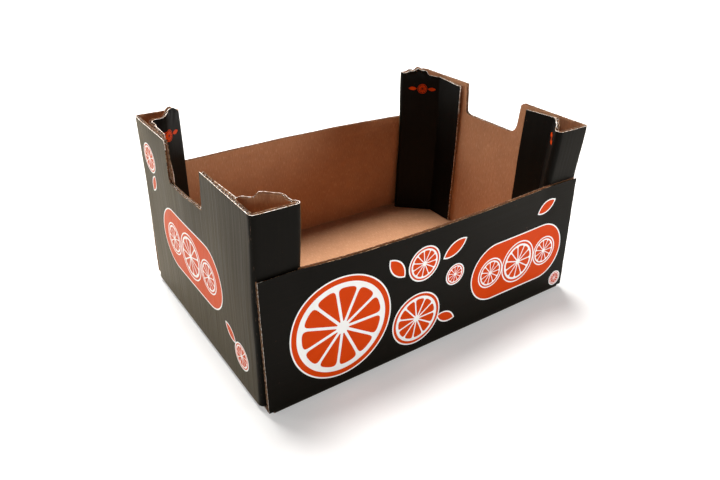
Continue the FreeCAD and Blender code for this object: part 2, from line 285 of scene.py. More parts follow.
kraftPaper = {
    "paper": "#BE8B66",
    "paperDark": "#A57655",
    "fibreLight": "#D6AC86",
    "fibreDark": "#8C6040",
    "cutEdge": "#F3EAE0",
    "cutEdgeDark": "#9A7C62",
    # the fluting's brown is partly its own and partly painted shade for the gap between the liners
    "flutes": "#583A22",
    "rubbedEdge": "#A88768",
    "rubbedEdgeDark": "#3A2A1E",
    "clouds": 42.0,            # scales of the textures, to the metre
    "fibres": (900.0, 160.0, 1.0),
    "washboard": 45.0,         # patches where the flutes show through more or less
    "tornFibres": 420.0,
    "specks": 300.0,           # in the fluting
    "fibreShow": 0.35,
    "ripple": 0.05,            # heights of the washboard and of the grain, in mm
    "grain": 0.04,
}


def washboard(tree, shader, blank, across, fibres, ripple, grain):
    # bump from the flutes under the liner, stronger in some places than in others
    parts = addNode(tree, "SeparateXYZ", {0: blank}).outputs
    perPitch = 2 * math.pi * 1000 / board["flutePitch"]
    turns = addNode(tree, "Math", {0: parts[across], 1: perPitch}, operation="MULTIPLY")
    wave = addNode(tree, "Math", {0: turns}, operation="COSINE")
    uneven = addNode(tree, "TexNoise", {"Vector": blank, "Scale": kraftPaper["washboard"], "Detail": 2.0})
    uneven = addNode(tree, "MapRange", {0: uneven, 1: 0.35, 2: 0.65, 3: 0.15, 4: 1.0})
    wave = addNode(tree, "Math", {0: wave, 1: uneven}, operation="MULTIPLY")
    low = addNode(tree, "Bump", {"Height": wave, "Strength": 1.0, "Distance": ripple / 1000})
    fine = addNode(tree, "Bump", {"Height": fibres, "Strength": 1.0, "Distance": grain / 1000,
                                  "Normal": low})
    tree.links.new(outputOf(fine), shader.inputs["Normal"])


def kraftMaterial(across):
    # Unbleached kraft liner: matt brown paper, clouded pulp, fine fibres lying with the machine
    # direction, and faint washboard lines where the flutes pull it in. across is the blank's axis
    # that runs across the flutes.
    material, tree, shader = startMaterial("kraftLinerPaper", 0.85, 0.25)
    place = addNode(tree, "TexCoord").outputs["Object"]
    clouds = addNode(tree, "TexNoise", {"Vector": place, "Scale": kraftPaper["clouds"], "Detail": 5.0,
                                        "Roughness": 0.6})
    blank = addNode(tree, "UVMap", uv_map="blank")
    grain = addNode(tree, "Mapping", {"Vector": blank, "Scale": kraftPaper["fibres"]})
    fibres = addNode(tree, "TexNoise", {"Vector": grain, "Scale": 1.0, "Detail": 3.0})
    show = kraftPaper["fibreShow"]
    light = addNode(tree, "MapRange", {0: fibres, 1: 0.56, 2: 0.671, 3: 0.0, 4: show})
    dark = addNode(tree, "MapRange", {0: fibres, 1: 0.42, 2: 0.295, 3: 0.0, 4: show})
    paper = linear(kraftPaper["paper"])
    tone = addNode(tree, "Mix", {0: clouds, 6: linear(kraftPaper["paperDark"]), 7: paper}, data_type="RGBA")
    tone = addNode(tree, "Mix", {0: light, 6: tone, 7: linear(kraftPaper["fibreLight"])}, data_type="RGBA")
    tone = addNode(tree, "Mix", {0: dark, 6: tone, 7: linear(kraftPaper["fibreDark"])}, data_type="RGBA")
    tree.links.new(outputOf(tone), shader.inputs["Base Color"])
    washboard(tree, shader, blank, across, fibres, kraftPaper["ripple"], kraftPaper["grain"])
    return material


def cutEdgeMaterial(name, dark, pale, bare):
    # Cut edge of the paper: torn fibres in short dashes. They are pale where the knife left them
    # clean, as on the posts, and brown where use has rubbed them. bare is where in the noise the
    # pale dashes start.
    material, tree, shader = startMaterial(name, 0.95, 0.15)
    place = addNode(tree, "TexCoord").outputs["Object"]
    specks = addNode(tree, "TexNoise", {"Vector": place, "Scale": kraftPaper["tornFibres"], "Detail": 3.0})
    ramp = addNode(tree, "MapRange", {0: specks, 1: bare, 2: bare + 0.2, 3: 0.0, 4: 1.0})
    dark = linear(kraftPaper[dark])
    tone = addNode(tree, "Mix", {0: ramp, 6: dark, 7: linear(kraftPaper[pale])}, data_type="RGBA")
    tree.links.new(outputOf(tone), shader.inputs["Base Color"])
    return material


def flutesWithPaintedShadeMaterial():
    # Fluting medium: recycled brown paper, rougher than the liners and darker. Its dark brown is partly its
    # own and partly painted shade for the gap between the liners.
    material, tree, shader = startMaterial("flutingPaperAndPaintedShade", 0.9, 0.2)
    place = addNode(tree, "TexCoord").outputs["Object"]
    specks = addNode(tree, "TexNoise", {"Vector": place, "Scale": kraftPaper["specks"], "Detail": 4.0})
    pale = linear(kraftPaper["fibreDark"])
    tone = addNode(tree, "Mix", {0: specks, 6: pale, 7: linear(kraftPaper["flutes"])}, data_type="RGBA")
    tree.links.new(outputOf(tone), shader.inputs["Base Color"])
    return material


# The print is a plain pattern of wheels, leaves and plaques, in mm on each panel. A wheel is its
# centre and radius, a leaf its centre, length and turn in degrees, and a plaque its centre, half
# width and half height.
longDesign = {
    "wheels": [(-118, 68, 53), (-30, 43, 29), (-25, 106, 18), (18, 79, 11), (184, 17, 8)],
    "leaves": [(-58, 111, 27, 128), (14, 111, 30, 28), (10, 30, 24, -24), (152, 118, 26, 24)],
    "plaques": [(114, 62, 70, 33)],
    "plaqueWheels": [(114, 62, 24), (71, 62, 16.5), (157, 62, 16.5)],
}
endDesign = {
    "wheels": [(102, 166, 15), (-98, 40, 13)],
    "leaves": [(-76, 54, 21, 32), (99, 138, 20, -62)],
    "plaques": [(10, 92, 74, 33)],
    "plaqueWheels": [(10, 92, 24), (-34, 92, 16.5), (54, 92, 16.5)],
}
postDesign = {
    "wheels": [(23, 183, 6.5)],
    "leaves": [(10, 183, 11, 0), (36, 183, 11, 0)],
    "plaques": [],
    "plaqueWheels": [],
}
noDesign = {"wheels": [], "leaves": [], "plaques": [], "plaqueWheels": []}

# a wheel's parts, as shares of its radius
wheelParts = {
    "segments": 11,
    "gap": 0.028,              # half of the white line between two segments
    "hub": 0.13,
    "segmentEnd": 0.80,
    "rounding": 0.16,
    "rimStart": 0.90,
}

ink = {
    "black": "#0D0B08",
    "blackThin": "#2A241C",
    "dust": "#FFE6B3",
    "orange": "#DB4403",
    "orangeDeep": "#C83A00",
    "white": "#F7F6F4",
    "keyline": 1.5,            # white line round every orange shape, in mm
    "leafWidth": 0.42,         # of a leaf's length
    "sheen": 0.43,
    "streaks": (400.0, 5.0),   # scales of the textures, across the flutes and along them
    "rubbed": (520.0, 70.0),
    "clouds": 38.0,
    "pinholes": 520.0,
    "rubbedAway": 0.16,
}


def wheelGroup():
    # a wheel: rim, white ring, and rounded segments round a white hub
    group = bpy.data.node_groups.new("segmentedWheel", "ShaderNodeTree")
    kinds = {"Place": "NodeSocketVector", "Centre": "NodeSocketVector", "Radius": "NodeSocketFloat"}
    for name, kind in kinds.items():
        group.interface.new_socket(name, in_out="INPUT", socket_type=kind)
    for name in ("Orange", "White"):
        group.interface.new_socket(name, in_out="OUTPUT", socket_type="NodeSocketFloat")
    given = group.nodes.new("NodeGroupInput").outputs
    size = given["Radius"]
    away = addNode(group, "VectorMath", {0: given["Place"], 1: given["Centre"]}, operation="SUBTRACT")
    far = addNode(group, "VectorMath", {0: away}, operation="LENGTH")
    parts = addNode(group, "SeparateXYZ", {0: away}).outputs

    # distance into a segment from its two straight sides, its outer end and the hub
    segments = wheelParts["segments"] / (2 * math.pi)
    angle = addNode(group, "Math", {0: parts["Y"], 1: parts["X"]}, operation="ARCTAN2")
    turn = addNode(group, "Math", {0: angle, 1: segments}, operation="MULTIPLY")
    share = addNode(group, "Math", {0: turn, 1: 0.5}, operation="PINGPONG")
    across = addNode(group, "Math", {0: share, 1: far}, operation="MULTIPLY")
    across = addNode(group, "Math", {0: across, 1: segments}, operation="DIVIDE")
    inSide = addNode(group, "Math", {0: size, 1: -wheelParts["gap"], 2: across}, operation="MULTIPLY_ADD")
    end = addNode(group, "Math", {0: size, 1: wheelParts["segmentEnd"]}, operation="MULTIPLY")
    inEnd = addNode(group, "Math", {0: end, 1: far}, operation="SUBTRACT")
    rounding = addNode(group, "Math", {0: size, 1: wheelParts["rounding"]}, operation="MULTIPLY")
    inner = addNode(group, "Math", {0: inSide, 1: inEnd, 2: rounding}, operation="SMOOTH_MIN")
    fromHub = addNode(group, "Math", {0: size, 1: -wheelParts["hub"], 2: far}, operation="MULTIPLY_ADD")
    inner = addNode(group, "Math", {0: inner, 1: fromHub}, operation="MINIMUM")
    segment = addNode(group, "Math", {0: inner, 1: 0.0}, operation="GREATER_THAN")

    rimStart = addNode(group, "Math", {0: size, 1: wheelParts["rimStart"]}, operation="MULTIPLY")
    rim = addNode(group, "Math", {0: far, 1: rimStart}, operation="GREATER_THAN")
    coloured = addNode(group, "Math", {0: segment, 1: rim}, operation="MAXIMUM")
    disc = addNode(group, "Math", {0: far, 1: size}, operation="LESS_THAN")
    orange = addNode(group, "Math", {0: coloured, 1: disc}, operation="MULTIPLY")
    edge = addNode(group, "Math", {0: size, 1: ink["keyline"]}, operation="ADD")
    outline = addNode(group, "Math", {0: far, 1: edge}, operation="LESS_THAN")
    white = addNode(group, "Math", {0: outline, 1: orange}, operation="SUBTRACT")
    drawn = group.nodes.new("NodeGroupOutput")
    group.links.new(orange.outputs[0], drawn.inputs["Orange"])
    group.links.new(white.outputs[0], drawn.inputs["White"])
    return group


def plaqueShape(tree, place, x, y, halfWidth, halfHeight):
    # distance outside a plaque with round ends, in mm
    straight = (halfWidth - halfHeight, 0, 0)
    away = addNode(tree, "VectorMath", {0: place, 1: (x, y, 0)}, operation="SUBTRACT")
    away = addNode(tree, "VectorMath", {0: away}, operation="ABSOLUTE")
    corner = addNode(tree, "VectorMath", {0: away, 1: straight}, operation="SUBTRACT")
    corner = addNode(tree, "VectorMath", {0: corner, 1: (0, 0, 0)}, operation="MAXIMUM")
    far = addNode(tree, "VectorMath", {0: corner}, operation="LENGTH")
    return addNode(tree, "Math", {0: far, 1: halfHeight}, operation="SUBTRACT")


def leafShape(tree, place, x, y, length, turn):
    # distance outside a leaf, which is where two wide circles overlap
    width = length * ink["leafWidth"]
    radius = (length ** 2 + width ** 2) / (4 * width)
    centre = Vector((x, y, 0))
    aside = Vector((-math.sin(math.radians(turn)), math.cos(math.radians(turn)), 0)) * (radius - width / 2)
    left = addNode(tree, "VectorMath", {0: place, 1: centre + aside}, operation="DISTANCE")
    right = addNode(tree, "VectorMath", {0: place, 1: centre - aside}, operation="DISTANCE")
    far = addNode(tree, "Math", {0: left, 1: right}, operation="MAXIMUM")
    return addNode(tree, "Math", {0: far, 1: radius}, operation="SUBTRACT")


def drawDesign(tree, place, design, wheel):
    # where the orange and the white ink lie, later shapes over earlier ones
    orange = white = 0.0
    shapes = [leafShape(tree, place, *leaf) for leaf in design["leaves"]]
    shapes += [plaqueShape(tree, place, *plaque) for plaque in design["plaques"]]
    for far in shapes:
        inside = addNode(tree, "Math", {0: far, 1: 0.0}, operation="LESS_THAN")
        outline = addNode(tree, "Math", {0: far, 1: ink["keyline"]}, operation="LESS_THAN")
        line = addNode(tree, "Math", {0: outline, 1: inside}, operation="SUBTRACT")
        orange = addNode(tree, "Math", {0: orange, 1: inside}, operation="MAXIMUM")
        white = addNode(tree, "Math", {0: white, 1: inside}, operation="SUBTRACT")
        white = addNode(tree, "Math", {0: white, 1: line}, operation="MAXIMUM")
    for x, y, radius in design["wheels"] + design["plaqueWheels"]:
        given = {"Place": place, "Centre": (x, y, 0), "Radius": radius}
        drawn = addNode(tree, "Group", given, node_tree=wheel).outputs
        orange = addNode(tree, "Math", {0: orange, 1: drawn["Orange"]}, operation="MAXIMUM")
        orange = addNode(tree, "Math", {0: orange, 1: drawn["White"]}, operation="SUBTRACT")
        white = addNode(tree, "Math", {0: white, 1: drawn["White"]}, operation="MAXIMUM")
        white = addNode(tree, "Math", {0: white, 1: drawn["Orange"]}, operation="SUBTRACT")
    return addNode(tree, "Clamp", {0: orange}), addNode(tree, "Clamp", {0: white})


def rubbedFolds(tree, where, clouds, blank, across):
    # ink rubbed off in dashes that lie along the upright corner folds and the bottom folds
    corners = (-box["halfLength"], -box["halfPosts"], 0)
    away = addNode(tree, "VectorMath", {0: where}, operation="ABSOLUTE")
    away = addNode(tree, "VectorMath", {0: away, 1: (1000, 1000, 0), 2: corners}, operation="MULTIPLY_ADD")
    away = addNode(tree, "VectorMath", {0: away}, operation="ABSOLUTE")
    away = addNode(tree, "SeparateXYZ", {0: away}).outputs
    corner = addNode(tree, "Math", {0: away["X"], 1: away["Y"]}, operation="ADD")
    corner = addNode(tree, "MapRange", {0: corner, 1: 2.6, 2: 4.6, 3: 1.0, 4: 0.0})
    height = addNode(tree, "SeparateXYZ", {0: where}).outputs["Z"]
    foot = addNode(tree, "MapRange", {0: height, 1: 0.001, 2: 0.0035, 3: 1.0, 4: 0.0})
    folds = addNode(tree, "Math", {0: corner, 1: foot}, operation="MAXIMUM")

    dashes = addNode(tree, "Mapping", {"Vector": blank, "Scale": blankScale(across, *ink["rubbed"])})
    worn = addNode(tree, "TexNoise", {"Vector": dashes, "Scale": 1.0, "Detail": 4.0, "Roughness": 0.7})
    patches = addNode(tree, "MapRange", {0: clouds, 1: 0.0, 2: 1.0, 3: -0.15, 4: 0.15})
    worn = addNode(tree, "Math", {0: worn, 1: patches}, operation="ADD")
    worn = addNode(tree, "MapRange", {0: worn, 1: 0.58, 2: 0.7, 3: 0.0, 4: ink["rubbedAway"]})
    return addNode(tree, "Math", {0: worn, 1: folds}, operation="MULTIPLY")


slantingPanel = {
    "start": 124.58,           # from the box's middle line to the flap's fold
    "stretch": 1524.0,         # mm along the panel for each metre inwards
}


def placeOnPanel(tree, where, panel, side):
    # mm along the panel from its middle, or from the flap's fold on a slanting panel, and mm up
    axes = addNode(tree, "SeparateXYZ", {0: where}).outputs
    if panel == "long":
        level = addNode(tree, "Math", {0: axes["X"], 1: -1000.0 * side}, operation="MULTIPLY")
    elif panel == "end":
        level = addNode(tree, "Math", {0: axes["Y"], 1: 1000.0}, operation="MULTIPLY")
    else:
        start = slantingPanel["start"] / 1000
        inwards = addNode(tree, "Math", {0: axes["Y"]}, operation="ABSOLUTE")
        inwards = addNode(tree, "Math", {0: start, 1: inwards}, operation="SUBTRACT")
        level = addNode(tree, "Math", {0: inwards, 1: slantingPanel["stretch"]}, operation="MULTIPLY")
    upright = addNode(tree, "Math", {0: axes["Z"], 1: 1000.0}, operation="MULTIPLY")
    return addNode(tree, "CombineXYZ", {"X": level, "Y": upright}).outputs[0]


def printMaterial(name, across, side, design, wheel, panel):
    # Flexo inks on kraft liner: thin matt film with a faint sheen at a flat angle. It shows the
    # washboard of the flutes, long streaks from the print roller, and the paper where it is thin.
    # across is the blank's axis across the flutes. panel says which way the design lies.
    onPost = panel == "post"
    material, tree, shader = startMaterial(name, 0.4, 0.06 if onPost else 0.05)
    shader.inputs["Sheen Weight"].default_value = 0.0 if onPost else ink["sheen"]
    shader.inputs["Sheen Roughness"].default_value = 0.3
    shader.inputs["Sheen Tint"].default_value = linear(ink["dust"])
    blank = addNode(tree, "UVMap", uv_map="blank")
    streak = addNode(tree, "Mapping", {"Vector": blank, "Scale": blankScale(across, *ink["streaks"])})
    streaks = addNode(tree, "TexNoise", {"Vector": streak, "Scale": 1.0, "Detail": 4.0, "Roughness": 0.65})
    ripple, grain = (0.012, 0.1) if panel == "end" else (0.005, 0.012)
    washboard(tree, shader, blank, across, streaks, ripple, grain)

    where = addNode(tree, "TexCoord").outputs["Object"]
    orange, white = drawDesign(tree, placeOnPanel(tree, where, panel, side), design, wheel)
    clouds = addNode(tree, "TexNoise", {"Vector": where, "Scale": ink["clouds"], "Detail": 6.0,
                                        "Roughness": 0.62})
    thin = addNode(tree, "MapRange", {0: streaks, 1: 0.5, 2: 0.8, 3: 0.0, 4: 0.15})
    thinBlack = linear(ink["blackThin"])
    black = addNode(tree, "Mix", {0: thin, 6: linear(ink["black"]), 7: thinBlack}, data_type="RGBA")
    deep = linear(ink["orangeDeep"])
    warm = addNode(tree, "Mix", {0: clouds, 6: deep, 7: linear(ink["orange"])}, data_type="RGBA")
    tone = addNode(tree, "Mix", {0: orange, 6: black, 7: warm}, data_type="RGBA")
    if not onPost:
        # the posts are printed in one colour
        tone = addNode(tree, "Mix", {0: white, 6: tone, 7: linear(ink["white"])}, data_type="RGBA")
    # pinholes in the film, about 0.4 mm, drawn twice as wide so that they show
    holes = addNode(tree, "TexNoise", {"Vector": where, "Scale": ink["pinholes"], "Detail": 2.0})
    holes = addNode(tree, "MapRange", {0: holes, 1: 0.77, 2: 0.81, 3: 0.0, 4: 0.4})
    tone = addNode(tree, "Mix", {0: holes, 6: tone, 7: linear(kraftPaper["paperDark"])}, data_type="RGBA")
    rubbed = rubbedFolds(tree, where, clouds, blank, across)
    tone = addNode(tree, "Mix", {0: rubbed, 6: tone, 7: linear(kraftPaper["fibreLight"])}, data_type="RGBA")
    tree.links.new(outputOf(tone), shader.inputs["Base Color"])
    gloss = addNode(tree, "MapRange", {0: streaks, 1: 0.3, 2: 0.7, 3: 0.32, 4: 0.55})
    tree.links.new(outputOf(gloss), shader.inputs["Roughness"])
    return material


glue = {
    "amber": "#C89A52",
    "pale": "#E2C58C",
    "clouds": 160.0,
    "depth": 2.0,              # how far light goes in, in mm
    "bump": 0.3,               # in mm too
}


def glueMaterial():
    # Hot melt glue: amber, half clear, smooth where it set in the air.
    material, tree, shader = startMaterial("hotMeltGlue", 0.3, 0.5, 1.48)
    shader.inputs["Subsurface Weight"].default_value = 0.35
    shader.inputs["Subsurface Scale"].default_value = glue["depth"] / 1000
    place = addNode(tree, "TexCoord").outputs["Object"]
    clouds = addNode(tree, "TexNoise", {"Vector": place, "Scale": glue["clouds"], "Detail": 3.0})
    pale = linear(glue["pale"])
    tone = addNode(tree, "Mix", {0: clouds, 6: linear(glue["amber"]), 7: pale}, data_type="RGBA")
    tree.links.new(outputOf(tone), shader.inputs["Base Color"])
    bump = addNode(tree, "Bump", {"Height": clouds, "Strength": 1.0, "Distance": glue["bump"] / 1000})
    tree.links.new(outputOf(bump), shader.inputs["Normal"])
    return material


hotMelt = glueMaterial()
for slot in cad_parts["glue_beads"].material_slots:
    slot.material = hotMelt

wheel = wheelGroup()
cleanEdge = cutEdgeMaterial("cutPaperEdge", "cutEdgeDark", "cutEdge", 0.4)
rubbedEdge = cutEdgeMaterial("rubbedPaperEdge", "rubbedEdgeDark", "rubbedEdge", 0.47)
flutes = flutesWithPaintedShadeMaterial()
kraftUpright = kraftMaterial(0)
kraftLevel = kraftMaterial(1)
postPrint = printMaterial("postPrint", 0, 1, postDesign, wheel, "post")
underPrint = printMaterial("underPrint", 1, 1, noDesign, wheel, "long")
print("materials made")


# End walls with their posts

posts = {
    "flapRun": 36.4,           # flap between its two folds
    "panelRun": 47.4,          # slanting panel between its folds
    "cornerReach": 128.2,      # middle of the end wall to its corner fold
    "footReach": 127.2,        # and to where its foot ends
    "tabFace": 191.7,
    "tabCrease": 92.87,        # where the tab leaves the crease, from the middle line
    "farFold": 139,
    "crease": 49,
    "foot": 4.8,
    "height": 202.0,
    "faceWidth": 2.0,
    "wallFrom": 198.0,         # the end wall lies further out than this
    "tabsWithin": 199.0,       # the tabs and the slanting panels lie within this
    "flapsFrom": 128.5,        # and the flaps further out than this, from the middle line
    "holeReach": 60.0,         # the cut-outs lie within this of the middle line
    "lipFrom": 185.0,          # and their lips above this height
    "rubbedReach": 56.0,       # their edges are rubbed within this, below rubbedTop
    "rubbedTop": 192.0,
}

postRows = [4.8, 12, 24, 40, 56, 72, 88, 104, 120, 136, 150, 162, 172,
            180, 186, 190, 193, 196, 198, 200, 202]
flutingRows = sorted(set(postRows[::4] + [186, 193, 198, 202]))

# Top edge of each post, from the flap's far fold along the slanting panel and the tab, as
# (mm from that fold, height). The lugs of a used tray are dented, and no two are alike.
# splay is how far a post's top has moved out of line, in x, y and z.
plainLug = [(2.5, 202), (3.8, 203), (6.5, 206.6), (9, 207.3), (27, 207.4), (29.5, 206.4), (32.5, 202.2)]
leftPosts = {
    "front": {
        "tabEnd": 51, "tabSlant": 0, "crumple": 0.5, "kink": 2, "splay": (0.5, -2, -0.8), "standOff": 0,
        "top": [(-12, 202), (2, 201), (5.5, 202.8), (8.4, 206.2), (21.5, 206.9), (30, 206.5),
                (33, 201.6), (42, 202.2), (48, 199.2), (85, 197.4)],
    },
    "back": {
        "tabEnd": 68, "tabSlant": 12, "crumple": 0.7, "kink": 9, "splay": (-0.5, 1.5, 1), "standOff": 0.5,
        "top": [(-12, 202), (1, 202.4), (5, 206), (10, 208.6), (15, 209.3), (20, 208.4), (25, 206),
                (31, 203), (42, 201.5), (48, 200.6), (72, 200.6)],
    },
}
rightPosts = {
    "front": {
        "tabEnd": 54.5, "tabSlant": 0, "crumple": 0.5, "kink": 1, "splay": (2, -2, -1), "standOff": 0.5,
        "top": [(-12, 202)] + plainLug + [(42, 201.4), (48, 200.6), (82, 198.6)],
    },
    "back": {
        "tabEnd": 54, "tabSlant": 0, "crumple": 1.9, "kink": 0, "splay": (-0.5, 2, 0), "standOff": 1,
        "top": [(-12, 202.6), (1, 203.2), (4.5, 204), (6.6, 206), (14.5, 206.8), (17, 209),
                (18.2, 210.2), (19.6, 208.4), (21, 207.5), (29, 207.6), (32.8, 201.6), (40, 200.8),
                (48, 200.1), (80, 197.6)],
    },
}

# Cut-outs as (y, z), the right one's front corner rounder than the left one's. A lip is the bent
# top corner of a cut-out.
leftHole = [(-36.6, 204), (-32.8, 162.6), (8, 159), (41.5, 158.2), (45, 159.8), (46.8, 163.5), (46.2, 204)]
leftLip = [(45.2, 195.5), (50.5, 203.2), (44.5, 204)]
rightHole = [(-42.4, 204), (-40.6, 174), (-38.8, 168.6), (-35.6, 165), (-31, 163.5), (38, 163.4),
             (42.8, 164.6), (45.4, 168), (47, 192), (48, 204)]
rightLip = [(-41.6, 198.5), (-46.4, 203), (-41, 204)]

# Where each kind of wear starts and is whole: heights, or mm along the slanting panel
wear = {
    "postFrom": -50,           # a post starts in the corner fold between end wall and flap
    "topHeights": (150, 202),
    "warpHeights": (5, 60),
    "crumpleHeights": (190, 206),
    "crumpleFrom": (0, 4),
    "crumpleTo": (34, 44),
    "crumpleSizes": [(5.5, 1.6), (2.6, 0.9)],     # mm, and how strong
    "kinkHeights": (160, 200),
    "kinkFrom": (27, 37),
    "kinkTo": (38, 47),
    "recessHeights": (196, 202),
    "splayHeights": (125, 202),
    "standOffHeights": (110, 200),
    "standOffFrom": (26, 47),
    "slantHeights": (162, 190),
    "pinchHeights": (198, 202),
}


def endLine(bm, run, side, ends):
    # the end strip seen from above, from the front tab's free edge to the back one's. It gives
    # where the slanting panels meet their flaps. side is -1 for the left end.
    last = bm.verts.new((side * posts["tabFace"], -ends["front"]["tabEnd"], posts["foot"]))
    heading = Vector((0, -1, 0))
    last = runOn(bm, run, last, heading, posts["tabCrease"] - ends["front"]["tabEnd"])
    last, heading = foldOn(bm, run, last, heading, -side * posts["crease"], board["foldInside"])
    last = runOn(bm, run, last, heading, posts["panelRun"])
    frontPanel = last[run]
    last, heading = foldOn(bm, run, last, heading, side * posts["farFold"], board["foldOutside"])
    last = runOn(bm, run, last, heading, posts["flapRun"])
    last, heading = foldOn(bm, run, last, heading, side * 90, board["foldOutside"])
    last = runOn(bm, run, last, heading, 2 * posts["cornerReach"])
    last, heading = foldOn(bm, run, last, heading, side * 90, board["foldOutside"])
    last = runOn(bm, run, last, heading, posts["flapRun"])
    last, heading = foldOn(bm, run, last, heading, side * posts["farFold"], board["foldOutside"])
    backPanel = last[run]
    last = runOn(bm, run, last, heading, posts["panelRun"])
    last, heading = foldOn(bm, run, last, heading, -side * posts["crease"], board["foldInside"])
    runOn(bm, run, last, heading, posts["tabCrease"] - ends["back"]["tabEnd"])
    return frontPanel, backPanel


def onFoot(vert):
    # on the end wall's lower edge, between its corner folds
    low = vert.co.z < posts["foot"] + 0.01
    return low and abs(vert.co.x) > box["halfLength"] - 0.1 and abs(vert.co.y) < posts["footReach"]


def wallFaces(bm, lowest):
    # the end wall's faces above a height, as far as its cut-out can reach
    found = []
    for face in bm.faces:
        centre = face.calc_center_median()
        onWall = abs(centre.x) > posts["wallFrom"] and abs(centre.y) < posts["holeReach"]
        if onWall and centre.z > lowest:
            found.append(face)
    return found


def firstMaterial(centre):
    # tabs and slanting panels have the second three materials, the wall by its cut-out the third
    onPanel = abs(centre.x) < posts["tabsWithin"] and abs(centre.y) < posts["flapsFrom"]
    if onPanel and centre.z > posts["foot"]:
        return 3
    byCutOut = abs(centre.x) > posts["wallFrom"] and abs(centre.y) < posts["rubbedReach"]
    return 6 if byCutOut and centre.z < posts["rubbedTop"] else 0


def crumple(spot, strength):
    return sum(noise.noise(spot / size) * strength * share for size, share in wear["crumpleSizes"])


def wearEnd(bm, run, side, ends, panels, fluting):
    # uneven top edges, dented lugs, splayed posts and a slanting tab
    frontPanel, backPanel = panels
    for vert in bm.verts:
        inFront = vert[run] < (frontPanel + backPanel) / 2
        end = ends["front"] if inFront else ends["back"]
        away = frontPanel - vert[run] if inFront else vert[run] - backPanel
        onPost = away > wear["postFrom"]
        if onPost:
            rise = along(end["top"], away) - posts["height"]
            vert.co.z += rise * smoothStep(*wear["topHeights"], vert.co.z)
        spot = vert.co / board["warpSize"] + Vector((side * 3, 0, 0))
        push = noise.noise(spot) * board["warp"] * 2 * smoothStep(*wear["warpHeights"], vert.co.z)
        if onPost and away > 0:
            crushed = smoothStep(*wear["crumpleHeights"], vert.co.z)
            crushed *= smoothStep(*wear["crumpleFrom"], away) * (1 - smoothStep(*wear["crumpleTo"], away))
            push += crumple(vert.co, end["crumple"]) * crushed
            kinked = smoothStep(*wear["kinkFrom"], away) * (1 - smoothStep(*wear["kinkTo"], away))
            push -= end["kink"] * kinked * smoothStep(*wear["kinkHeights"], vert.co.z)
        if fluting:
            vert.co.z -= board["fluteRecess"] * smoothStep(*wear["recessHeights"], vert.co.z)
        vert.co += vert.normal * push
        high = smoothStep(*wear["splayHeights"], vert.co.z)
        vert.co += Vector(end["splay"]) * high * min(1, abs(vert.co.y) / box["halfPosts"])
        # a tab may stand off its wall at the top
        high = smoothStep(*wear["standOffHeights"], vert.co.z)
        vert.co.x -= side * end["standOff"] * smoothStep(*wear["standOffFrom"], away) * high
        # a slanting free edge: the tab reaches further along the wall below its top
        tabRun = posts["tabCrease"] - end["tabEnd"]
        reach = smoothStep(posts["panelRun"], posts["panelRun"] + tabRun, away)
        lower = 1 - smoothStep(*wear["slantHeights"], vert.co.z)
        vert.co.y -= math.copysign(end["tabSlant"] * reach * lower, vert.co.y)


def endStrip(side, ends, hole, lip, layer):
    bm = bmesh.new()
    run = bm.verts.layers.float.new("run")
    panels = endLine(bm, run, side, ends)
    fluting = layer == "fluting"
    divide(bm, board["flutePitch"] / board["fluteSteps"] if fluting else posts["faceWidth"])
    raiseLine(bm, flutingRows if fluting else postRows)

    footEdges = [edge for edge in bm.edges if all(onFoot(vert) for vert in edge.verts)]
    centre = (side * (box["halfLength"] - board["foldOutside"]), 0, board["foldOutside"])
    turnFoot(bm, footEdges, centre, (0, 1, 0), 90 * side)
    faceOutwards(bm, (side * box["halfLength"], 0, box["middleHeight"]))

    # the fluting is crushed back from the cut edge
    recess = board["fluteRecess"]
    cutAway(bm, wallFaces(bm, 0), widen(hole, recess) if fluting else hole)
    cutAway(bm, wallFaces(bm, posts["lipFrom"]), widen(lip, recess) if fluting else lip)
    for face in bm.faces:
        face.material_index = firstMaterial(face.calc_center_median())
    wearEnd(bm, run, side, ends, panels, fluting)
    return bm, run


def uprightFlutes(vert, run):
    turn = vert[run] / board["flutePitch"] * 2 * math.pi
    pinch = smoothStep(*wear["pinchHeights"], vert.co.z) * board["edgeWave"] * (1 - math.cos(turn)) / 2
    return pinch, math.cos(turn)


for name, side, ends, hole, lip in [("left_end", -1, leftPosts, leftHole, leftLip),
                                    ("right_end", 1, rightPosts, rightHole, rightLip)]:
    endPrint = printMaterial(name + "_print", 0, side, endDesign, wheel, "end")
    printed = [endPrint, kraftUpright, cleanEdge,
               postPrint, kraftUpright, cleanEdge,
               endPrint, kraftUpright, rubbedEdge]
    threeLayers(name, lambda layer: endStrip(side, ends, hole, lip, layer), printed, kraftUpright,
                cleanEdge, uprightFlutes)
print("end walls and posts built")


# Long walls

longWall = {
    "halfLength": 197.5,
    "face": 144.0,
    "height": 141.0,
    "straightUpTo": 8.8,
    "lean": 7.6,
    "bow": 6.9,                # how far the top's middle bows out, and where
    "bowPeak": -35.0,
    "bowLeft": 125.0,
    "bowRight": 182.0,
    "bowShape": 1.3,
    "leastLean": 0.05,
    "faceLength": 6.0,
    "faceHeight": 5.0,
    "rawEnd": 4.0,             # how far in from its ends the wall shows its cut flutes
    "footClear": 2.0,          # the fold with the base stops this far from the ends
    "topWave": 0.5,
    "topWaveSize": 45.0,
    "recess": 1.6,             # times the board's, as the top edge is worn
    "warpHeights": (5, 50),    # where the warp, the wave and the recess start and are whole
    "waveHeights": (90, 141),
    "recessHeights": (136, 141),
}


def bowAt(x):
    reach = longWall["bowLeft"] if x < longWall["bowPeak"] else longWall["bowRight"]
    t = min(1, abs(x - longWall["bowPeak"]) / reach)
    return longWall["bow"] * (1 - t * t)


